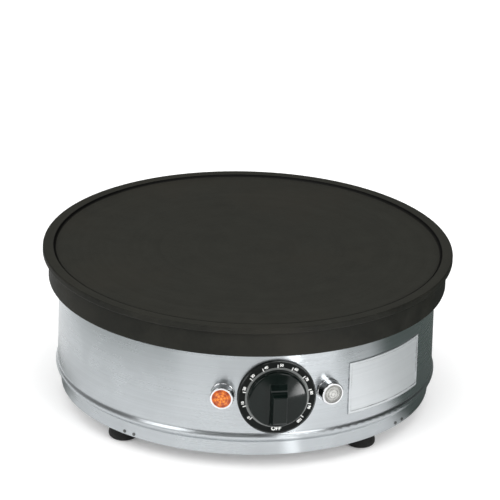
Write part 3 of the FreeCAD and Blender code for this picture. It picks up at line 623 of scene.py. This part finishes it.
# %% Cast iron
SEASONED = (0.0094, 0.0095, 0.0073)
SEASONED_WORN = (0.0168, 0.0171, 0.0134)
TURNED_TOP = (0.040, 0.040, 0.034)
BARE_IRON = (0.055, 0.054, 0.047)
BURNT_OIL = (0.030, 0.027, 0.020)
# Painted shadow: the next colour lies as a dark ring round the recess's corner, where the ledge's
# step casts its shadow.
RECESS_SHADOW = (0.0004, 0.0004, 0.0003)
RECESS_CORNER = 0.1650
RECESS_SHADOW_SPREAD = (1.2 * MM, 0.7 * MM)
TOP_GREYER = 0.40
OIL_STAINS = 0.4
RINGS_SHOW = 0.25
EDGES_SHOW = 0.7
LEVEL_ENOUGH = (0.9, 0.99)
SILKY = (0.40, 0.52)
SANDY = (0.52, 0.68)
IRON_SHINE = 0.17
RINGS_ACROSS = 900.0
RINGS_ALONG = 5.0
SAND_RELIEF = 0.05 * MM
RING_RELIEF = 0.006 * MM


def iron_colour(tree, place, up, on_top, grain, rings, marks):
    """Oil-black body, greyer turned top, oil marks, rubbed edges, painted shadow at the recess."""
    colour = blend_colours(tree, grain["Tone"], SEASONED, SEASONED_WORN)
    colour = blend_colours(tree, times(tree, on_top, TOP_GREYER), colour, TURNED_TOP)
    colour = blend_colours(tree, times(tree, marks, OIL_STAINS), colour, BURNT_OIL)
    ringed = times(tree, times(tree, rings["Tone"], on_top), RINGS_SHOW)
    colour = blend_colours(tree, ringed, colour, TURNED_TOP)
    edges = use_group(tree, edge_wear_and_highlight_group, Vector=place)["Mask"]
    colour = blend_colours(tree, times(tree, edges, EDGES_SHOW), colour, BARE_IRON)
    # Painted shadow of the ledge's step: a near-black ring round the recess's corner on faces that
    # look up.
    radius = length_of(tree, level_part(tree, place))
    away = math_node(tree, "ABSOLUTE", math_node(tree, "SUBTRACT", radius, RECESS_CORNER))
    recess_shadow = times(tree, spread(tree, away, *RECESS_SHADOW_SPREAD), spread(tree, up, 0.3, 0.6))
    return blend_colours(tree, recess_shadow, colour, RECESS_SHADOW)


def cast_iron():
    material, tree, shader = new_material("cast_plate")
    place = object_place(tree)
    turned = lathe_place(tree, place, RINGS_ACROSS, RINGS_ALONG)
    grain = use_group(tree, grain_group, Vector=place, Scale=260.0)
    rings = use_group(tree, grain_group, Vector=turned, Scale=1.0)
    marks = use_group(tree, smear_group, Vector=place, Scale=9.0)["Mask"]
    up = split(tree, add(tree, "NewGeometry").outputs["Normal"])["Z"]
    on_top = spread(tree, up, *LEVEL_ENOUGH)
    colour = iron_colour(tree, place, up, on_top, grain, rings, marks)
    tree.links.new(colour, shader.inputs["Base Color"])
    silky = spread(tree, marks, 0.0, 1.0, *SILKY)
    sandy = spread(tree, grain["Tone"], 0.0, 1.0, *SANDY)
    rough = add(tree, "Mix", {0: on_top, 2: sandy, 3: silky}).outputs[0]
    tree.links.new(rough, shader.inputs["Roughness"])
    sand = bump(tree, shader, grain["Height"], SAND_RELIEF)
    bump(tree, shader, times(tree, rings["Height"], on_top), RING_RELIEF, below=sand)
    set_sockets(shader, {"Specular IOR Level": IRON_SHINE})
    return material


iron = cast_iron()
print("material", iron.name)

# %% [markdown]
# ## The dial's face and the knob
# The dial is a turned disc, satin black, with a thin rim that catches the light. The knob is
# moulded in a glossy black plastic. Black paint alone would look like a hole in the picture: it
# is the gloss that shows a knob's shape, with finger marks that dull it in patches. On both, the
# light edge colour is a painted highlight along the edges.

# %% Dial and knob
DIAL_HEIGHT = 0.067
WALL = 0.1607
DIAL_CENTRE = (0, -WALL, DIAL_HEIGHT)
TO_FRONT = (math.radians(90), 0, 0)
FROM_FRONT = (math.radians(-90), 0, 0)

# The edge colour of each is a painted highlight: grey on the dial, faint on the knob.
dial_black = finish("dial_plastic", (0.0045, 0.0055, 0.0052), (0.0095, 0.0115, 0.011),
                    (0.34, 0.46), turned=1500.0, centre=DIAL_CENTRE, turn=FROM_FRONT, scale=1.0,
                    relief=0.004, edge=(0.20, 0.21, 0.21), plain={"Specular IOR Level": 0.08})[0]
knob_black = finish("knob_plastic", (0.0018, 0.0042, 0.0034), (0.0040, 0.0082, 0.0070),
                    (0.05, 0.12), scale=420.0, relief=0.004, smear=0.5,
                    edge=(0.05, 0.058, 0.055), plain={"Specular IOR Level": 0.26})[0]
print("materials", dial_black.name, knob_black.name)

# %% [markdown]
# ## Chrome, print and lamp plastics
# The lamps' rims are polished and plated. Chrome has no colour of its own, only what it
# reflects, so it needs little more than a high Metallic and faint scratches. The print of the
# scale is flat paint, and the lamps' holders are a plain off-white plastic.

# %% Chrome, print and lamp plastics
chrome = finish("chrome_trim", (0.70, 0.71, 0.72), (0.86, 0.87, 0.88), (0.05, 0.13),
                metallic=1.0, scale=300.0, relief=0.003, smear=0.25)[0]
ring_grey = finish("ring_print", (0.16, 0.17, 0.165), (0.27, 0.28, 0.275), (0.42, 0.55),
                   metallic=0.4, scale=260.0, stretch=(1, 1, 3), relief=0.004, smear=0.3)[0]
white_print = finish("white_print", (0.84, 0.85, 0.83), (0.95, 0.96, 0.94), (0.45, 0.6),
                     scale=900.0, relief=0.004, smear=0.2)[0]
lamp_white = finish("lamp_plastic", (0.62, 0.60, 0.54), (0.78, 0.76, 0.70), (0.35, 0.5),
                    scale=300.0, relief=0.01, dust=0.3)[0]
print("materials", chrome.name, ring_grey.name, white_print.name, lamp_white.name)

# %% [markdown]
# ## Lenses
# A lens is clear plastic over a dark chamber, so its colour changes with every facet. Real
# refraction through such small wedges needs many samples and turns noisy. Here the facets' light
# and shade are painted into the colour instead: painted shade and painted glints go round in
# wedges and outwards in rings, are broken up by smears, and the glints grow towards the middle.

# %% Lens materials
LAMP_ASIDE = 44.3 * MM
LAMP_AZIMUTH = math.asin(LAMP_ASIDE / WALL)
LAMP_HEIGHT = 0.0684
LENS_RINGS = 2600.0
RING_SHARE = 0.16
SMEAR_SHARE = 0.95
MIDDLE_SHARE = 0.45
MIDDLE_FADE = (7.5 * MM, 1.0 * MM)
LENS_SMEARS = 330.0
LENS_ROUGH = (0.05, 0.16)
LENS_RELIEF = 0.10 * MM
PAINTED_SHADE_TO_BODY = (-0.35, 0.55)
BODY_TO_PAINTED_GLINT = (0.5, 1.15)
LENS_PLAIN = {"Transmission Weight": 0.0, "Coat Weight": 0.3, "Coat Roughness": 0.03, "IOR": 1.49}


def on_wall(azimuth):
    """A point on the drum's wall at the height of the lamps; azimuth in radians."""
    return point_round(azimuth, WALL, LAMP_HEIGHT)


def lens_material(name, painted_shade, body, glow, azimuth, wedge_count, wedge_share):
    """Coloured plastic with painted shade and glints in wedges and rings round the lens's own axis.
    """
    material, tree, shader = new_material(name)
    centre = on_wall(azimuth)
    place = object_place(tree, centre=centre, turn=FROM_FRONT)
    centred = object_place(tree, centre=centre)
    faced = add(tree, "Mapping", {"Vector": centred, "Rotation": (0, 0, -azimuth)}).outputs[0]
    parts = split(tree, faced)
    angle = math_node(tree, "ARCTAN2", parts["X"], parts["Z"])
    wedges = math_node(tree, "SINE", times(tree, angle, wedge_count))
    flat = add(tree, "CombineXYZ", {"X": parts["X"], "Z": parts["Z"]}).outputs[0]
    radius = length_of(tree, flat)
    rings = math_node(tree, "SINE", times(tree, radius, LENS_RINGS))
    marks = use_group(tree, smear_group, Vector=place, Scale=LENS_SMEARS)["Mask"]
    middle = spread(tree, radius, *MIDDLE_FADE)
    depth = weigh(tree, (wedges, wedge_share), (rings, RING_SHARE), (marks, SMEAR_SHARE),
                  (middle, MIDDLE_SHARE))
    colour = blend_colours(tree, spread(tree, depth, *PAINTED_SHADE_TO_BODY), painted_shade, body)
    colour = blend_colours(tree, spread(tree, depth, *BODY_TO_PAINTED_GLINT), colour, glow)
    tree.links.new(colour, shader.inputs["Base Color"])
    rough = spread(tree, marks, 0.0, 1.0, *LENS_ROUGH)
    tree.links.new(rough, shader.inputs["Roughness"])
    bump(tree, shader, depth, LENS_RELIEF)
    set_sockets(shader, LENS_PLAIN)
    return material


# Each lens: its dark colour is painted shade, its middle one the dye, its light one a painted
# glint.
orange_lens = lens_material("lens_orange", (0.06, 0.004, 0.0005), (0.56, 0.075, 0.002),
                            (1.0, 0.38, 0.03), -LAMP_AZIMUTH, wedge_count=6.0,
                            wedge_share=0.22)
clear_lens = lens_material("lens_clear", (0.04, 0.04, 0.035), (0.36, 0.36, 0.34),
                           (0.92, 0.92, 0.90), LAMP_AZIMUTH, wedge_count=4.0,
                           wedge_share=0.06)
print("materials", orange_lens.name, clear_lens.name)

# %% [markdown]
# ## The rest of the pieces
# What is inside or underneath is sheet steel, zinc plate, aluminium, brass, copper, ceramic,
# fibre and rubber. None of these needs a tree of its own: each finish below is the recipe with
# the tones, the roughness and the grain of its own stuff. The bare plate at the right is
# brushed level, so its grain is stretched level too.

# %% Other finishes
bare_steel = finish("plain_steel", (0.40, 0.405, 0.41), (0.58, 0.585, 0.59), (0.30, 0.46),
                    metallic=1.0, stretch=(260, 9, 9), scale=1.0, relief=0.006,
                    edge=(0.72, 0.72, 0.72), dust=0.25)[0]
zinc = finish("zinc_steel", (0.50, 0.50, 0.46), (0.68, 0.68, 0.63), (0.24, 0.42), metallic=1.0,
              scale=500.0, relief=0.006, edge=(0.78, 0.78, 0.75), dust=0.2)[0]
sheath = finish("element_sheath", (0.055, 0.06, 0.05), (0.16, 0.155, 0.13), (0.42, 0.62),
                metallic=0.85, scale=140.0, relief=0.02, smear=0.6)[0]
aluminium = finish("reflector_aluminium", (0.66, 0.66, 0.66), (0.82, 0.82, 0.82), (0.18, 0.34),
                   metallic=1.0, turned=700.0, scale=1.0, relief=0.006, dust=0.2)[0]
fibre = finish("insulation", (0.60, 0.57, 0.50), (0.82, 0.79, 0.72), (0.85, 0.98), scale=520.0,
               relief=0.18, smear=0.4)[0]
ceramic = finish("ceramic", (0.70, 0.67, 0.60), (0.84, 0.82, 0.76), (0.42, 0.6), scale=340.0,
                 relief=0.02, dust=0.3, edge=(0.88, 0.87, 0.84))[0]
brass = finish("brass_parts", (0.52, 0.36, 0.13), (0.74, 0.56, 0.25), (0.2, 0.4), metallic=1.0,
               scale=380.0, relief=0.006, edge=(0.85, 0.70, 0.40))[0]
copper = finish("copper_bulb", (0.50, 0.22, 0.12), (0.74, 0.40, 0.25), (0.22, 0.42),
                metallic=1.0, scale=240.0, relief=0.006, smear=0.5)[0]
rubber = finish("foot_rubber", (0.010, 0.010, 0.010), (0.022, 0.022, 0.0215), (0.52, 0.7),
                scale=600.0, relief=0.03, dust=0.2, edge=(0.03, 0.03, 0.03),
                plain={"Specular IOR Level": 0.12})[0]
nylon = finish("gland_nylon", (0.014, 0.014, 0.0145), (0.028, 0.028, 0.029), (0.38, 0.55),
               scale=420.0, relief=0.015, dust=0.3, edge=(0.07, 0.07, 0.07))[0]
seal = finish("seal_rubber", (0.020, 0.020, 0.021), (0.034, 0.034, 0.035), (0.6, 0.8),
              scale=500.0, relief=0.02)[0]
badge = finish("badge_metal", (0.57, 0.595, 0.61), (0.65, 0.675, 0.69), (0.40, 0.52),
               metallic=0.55, stretch=(9, 9, 1500), scale=1.0, relief=0.004, smear=0.2,
               edge=(0.03, 0.03, 0.03))[0]
dark_rivet = finish("rivet_steel", (0.10, 0.105, 0.10), (0.20, 0.205, 0.20), (0.35, 0.5),
                    metallic=0.9, scale=500.0, relief=0.006)[0]
print("materials in all", len(bpy.data.materials))

# %% [markdown]
# Every node of the model names its material slot. Clicking through fifty pieces would do, but a
# table from slot to finish dresses them all at once and leaves none out. The rivets share
# the drum's slot and look darker on the real band, so they get a finish of their own.

# %% Dress the model
slot_finish = {
    "cast_plate": iron, "stainless": drum_steel, "plain_steel": bare_steel, "zinc_steel": zinc,
    "chrome_trim": chrome, "dial_plastic": dial_black, "knob_plastic": knob_black,
    "lens_orange": orange_lens, "lens_clear": clear_lens, "lamp_plastic": lamp_white,
    "element_sheath": sheath, "reflector_aluminium": aluminium, "insulation": fibre,
    "ceramic": ceramic, "brass_parts": brass, "copper_bulb": copper, "foot_rubber": rubber,
    "gland_nylon": nylon, "seal_rubber": seal, "badge_metal": badge}

for part in frame["record"]["subparts"]:
    for place in nodes[part["node"]].material_slots:
        place.material = slot_finish[part["material_slot"]]
nodes["rim_rivets"].material_slots[0].material = dark_rivet

# %% [markdown]
# ## Tools for new pieces
# The model's own pieces are never moved or reshaped. New ones are modelled as by hand, and each
# ends with its place in its mesh and its object at the origin, because a pattern on Object
# coordinates would slide otherwise. These few steps come back for every piece.

# %% Tools for new pieces
MERGE_DISTANCE = 0.001 * MM


def only(piece):
    """Makes piece the one selected and active object."""
    bpy.ops.object.select_all(action="DESELECT")
    piece.select_set(True)
    bpy.context.view_layer.objects.active = piece


def apply_modifier(piece, kind, **settings):
    modifier = piece.modifiers.new(kind.lower(), kind)
    for key, value in settings.items():
        setattr(modifier, key, value)
    only(piece)
    bpy.ops.object.modifier_apply(modifier=modifier.name)


def settle(piece, name, location=(0, 0, 0), turn=(0, 0, 0)):
    """Names a piece, puts it in its place and leaves its object at the origin."""
    piece.name = name
    piece.data.name = name
    piece.rotation_euler = turn
    piece.location = location
    only(piece)
    bpy.ops.object.transform_apply(location=True, rotation=True, scale=True)
    return piece


def clean(piece):
    """Merges doubles and turns every face outwards."""
    only(piece)
    bpy.ops.object.mode_set(mode="EDIT")
    bpy.ops.mesh.select_all(action="SELECT")
    bpy.ops.mesh.remove_doubles(threshold=MERGE_DISTANCE)
    bpy.ops.mesh.normals_make_consistent(inside=False)
    bpy.ops.object.mode_set(mode="OBJECT")


def dress(piece, material, body):
    piece.data.materials.clear()
    piece.data.materials.append(material)
    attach(piece, body)
    print(piece.name, "faces", len(piece.data.polygons))


print("tools ready")

# %% [markdown]
# ## The dial's print
# Round the knob there is a grey ring and a scale from 0 to 100 with OFF below. A printed picture
# would do for a far view, but print has a thickness that the light finds, so the ring, the marks
# and the numbers are thin solids that lie on the disc. The ring starts as a circle; its edge is
# drawn inwards, then the band is raised and its corners are broken.

# %% Ring of the scale
DISC_FACE = 2.0 * MM
DISC_FRONT = (0, -WALL - DISC_FACE, DIAL_HEIGHT)
RING_OUTER = 27.0 * MM
RING_INNER = 25.1 * MM
RING_RISE = 0.35 * MM
RING_CORNER = 0.08 * MM
RING_SIDES = 144


def flat_ring(outer, inner, rise, corner):
    """Thin ring round the origin: a circle, drawn inwards, raised, and its edges broken."""
    bpy.ops.object.select_all(action="DESELECT")
    bpy.ops.mesh.primitive_circle_add(vertices=RING_SIDES, radius=outer, fill_type="NOTHING")
    ring = bpy.context.object
    bpy.ops.object.mode_set(mode="EDIT")
    bpy.ops.mesh.select_all(action="SELECT")
    bpy.ops.mesh.extrude_edges_move()
    bpy.ops.transform.resize(value=(inner / outer, inner / outer, 1))
    bpy.ops.mesh.select_all(action="SELECT")
    bpy.ops.mesh.extrude_region_move(TRANSFORM_OT_translate={"value": (0, 0, rise)})
    bpy.ops.object.mode_set(mode="OBJECT")
    clean(ring)
    apply_modifier(ring, "BEVEL", width=corner, segments=2, limit_method="ANGLE")
    return ring


scale_ring = flat_ring(RING_OUTER, RING_INNER, RING_RISE, RING_CORNER)
settle(scale_ring, "scale_ring", DISC_FRONT, TO_FRONT)
dress(scale_ring, ring_grey, "housing")
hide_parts("dial_ring")

# %% [markdown]
# The disc has a narrow lip at its outer edge, left by the lathe, that draws a fine line of light
# round it. It could be bevelled from the disc, but the model's pieces stay as they are, so it
# is a second ring, narrow and black, made in the same way as the first.

# %% Lip of the disc
LIP_OUTER = 33.0 * MM
LIP_INNER = 32.3 * MM
LIP_RISE = 0.3 * MM
LIP_CORNER = 0.1 * MM

disc_lip = flat_ring(LIP_OUTER, LIP_INNER, LIP_RISE, LIP_CORNER)
settle(disc_lip, "disc_lip", DISC_FRONT, TO_FRONT)
dress(disc_lip, dial_black, "housing")

# %% [markdown]
# Each number has a short white mark that crosses the ring. An array round a circle would copy
# it too, but the scale has a gap at the bottom, and turned copies give every mark its own angle. A
# mark is a cube pulled into a small bar with broken edges. It is made once, at twelve o'clock,
# and copied; the copies are turned round the dial's middle and joined into one piece.

# %% Marks
SCALE_NUMBERS = range(0, 101, 10)
FIRST_ANGLE = -130.0
STEP_ANGLE = 26.0
MARK_FROM = 26.6 * MM
MARK_TO = 29.6 * MM
MARK_WIDTH = 0.65 * MM
MARK_CORNER = 0.06 * MM
PRINT_RISE = 0.12 * MM


def scale_angle(number):
    """Angle of a number's mark from twelve o'clock, clockwise, in radians."""
    return math.radians(FIRST_ANGLE + STEP_ANGLE * number / 10)


def one_mark():
    bpy.ops.object.select_all(action="DESELECT")
    middle = (0, (MARK_FROM + MARK_TO) / 2, RING_RISE / 2)
    bpy.ops.mesh.primitive_cube_add(size=1, location=middle)
    mark = bpy.context.object
    mark.scale = (MARK_WIDTH, MARK_TO - MARK_FROM, RING_RISE + PRINT_RISE)
    bpy.ops.object.transform_apply(location=True, rotation=True, scale=True)
    bpy.ops.object.mode_set(mode="EDIT")
    bpy.ops.mesh.select_all(action="SELECT")
    bpy.ops.mesh.bevel(offset=MARK_CORNER, segments=1, affect="EDGES")
    bpy.ops.object.mode_set(mode="OBJECT")
    return mark


def join_all(parts):
    bpy.ops.object.select_all(action="DESELECT")
    for part in parts:
        part.select_set(True)
    bpy.context.view_layer.objects.active = parts[0]
    bpy.ops.object.join()
    return bpy.context.object


first_mark = one_mark()
marks = []
for number in SCALE_NUMBERS:
    copy = first_mark.copy()
    copy.data = first_mark.data.copy()
    bpy.context.scene.collection.objects.link(copy)
    marks.append(settle(copy, "mark", turn=(0, 0, -scale_angle(number))))
bpy.data.objects.remove(first_mark)
dial_marks = settle(join_all(marks), "dial_marks", DISC_FRONT, TO_FRONT)
dress(dial_marks, white_print, "housing")

# %% [markdown]
# The numbers are printed just clockwise of their marks, with their heads outwards. Text objects
# give clean letters that can still be set by size; with a little depth they are solids like
# the marks. Each is turned into a mesh first and only then put in its place, so that nothing
# is left on its object.

# %% Numbers and OFF
NUMBER_SIZE = 3.2 * MM
NUMBER_RADIUS = 29.0 * MM
OFF_SIZE = 4.8 * MM
OFF_RADIUS = 28.3 * MM
BOLDER = 0.035
# How far a number stands past its mark, in degrees, by its count of digits.
NUMBER_SHIFT = {1: 3.9, 2: 6.2, 3: 8.2}


def raised_text(words, size):
    bpy.ops.object.select_all(action="DESELECT")
    bpy.ops.object.text_add()
    text = bpy.context.object
    text.data.body = words
    text.data.size = size
    text.data.align_x = "CENTER"
    text.data.align_y = "CENTER"
    text.data.extrude = PRINT_RISE / 2
    text.data.offset = BOLDER * size
    text.data.resolution_u = 4
    only(text)
    bpy.ops.object.convert(target="MESH")
    return bpy.context.object


words = []
for number in SCALE_NUMBERS:
    angle = scale_angle(number) + math.radians(NUMBER_SHIFT[len(str(number))])
    middle = (NUMBER_RADIUS * math.sin(angle), NUMBER_RADIUS * math.cos(angle), PRINT_RISE / 2)
    words.append(settle(raised_text(str(number), NUMBER_SIZE), "number", middle, (0, 0, -angle)))
off_word = raised_text("OFF", OFF_SIZE)
words.append(settle(off_word, "off", (0, -OFF_RADIUS, PRINT_RISE / 2)))
dial_numbers = settle(join_all(words), "dial_numbers", DISC_FRONT, TO_FRONT)
clean(dial_numbers)
dress(dial_numbers, white_print, "housing")

# %% [markdown]
# ## The lenses
# A pilot lamp's lens is a thick cap: a rim, a step, and a round face cut into wedges that scatter
# the light of the small lamp behind. A curve spun round its axis would give the steps but not
# the wedges, so it starts as a cylinder. Its front face is inset and pushed in and out to
# give the steps, and the last face is poked, so that it rises in wedges to a low point.
#
# One fault is known and left. The first lens is made in vertex mode, where the whole of a new
# cylinder is still selected, so inset finds no border and the orange lens gets its point but no
# steps. Clearing the mesh's selection before the front face is picked would mend it.

# %% Lens
LENS_RADIUS = 8.0 * MM
LENS_SEAT = 3.5 * MM
LENS_FRONT = 9.4 * MM
LENS_WEDGES = 24
# Each step of the face: how far it is inset and how far it is then pushed out, in mm.
LENS_STEPS = ((1.1, 0.5), (0.45, -0.5), (1.1, 0.55), (0.4, -0.35), (1.3, 0.55))
LENS_POINT = 0.35 * MM
FACES_UP = 0.9
LENS_CORNER = 0.12 * MM
SHARP_EDGE = math.radians(24)
SMOOTH_BELOW = math.radians(28)


def lens():
    """Lens round Z with its seat at LENS_SEAT, drawn facing +Z."""
    bpy.ops.object.select_all(action="DESELECT")
    depth = LENS_FRONT - LENS_SEAT
    bpy.ops.mesh.primitive_cylinder_add(vertices=2 * LENS_WEDGES, radius=LENS_RADIUS, depth=depth,
                                        location=(0, 0, LENS_SEAT + depth / 2))
    piece = bpy.context.object
    bpy.ops.object.transform_apply(location=True, rotation=True, scale=True)
    for face in piece.data.polygons:
        face.select = face.normal.z > FACES_UP
    bpy.ops.object.mode_set(mode="EDIT")
    bpy.ops.mesh.select_mode(type="FACE")
    for inwards, rise in LENS_STEPS:
        bpy.ops.mesh.inset(thickness=inwards * MM, depth=0)
        bpy.ops.transform.translate(value=(0, 0, rise * MM))
    bpy.ops.mesh.poke(offset=LENS_POINT)
    bpy.ops.object.mode_set(mode="OBJECT")
    apply_modifier(piece, "BEVEL", width=LENS_CORNER, segments=2, limit_method="ANGLE",
                   angle_limit=SHARP_EDGE)
    clean(piece)
    only(piece)
    bpy.ops.object.shade_smooth_by_angle(angle=SMOOTH_BELOW)
    return piece


def put_lens(name, azimuth, material, stand_for):
    """A lens turned to the front, then round the drum to its lamp."""
    piece = lens()
    piece.rotation_mode = "XYZ"
    settle(piece, name, turn=TO_FRONT)
    settle(piece, name, on_wall(azimuth), (0, 0, azimuth))
    dress(piece, material, "housing")
    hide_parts(stand_for)


put_lens("heating_lens", -LAMP_AZIMUTH, orange_lens, "heating_lamp_lens")
put_lens("power_lens", LAMP_AZIMUTH, clear_lens, "power_lamp_lens")
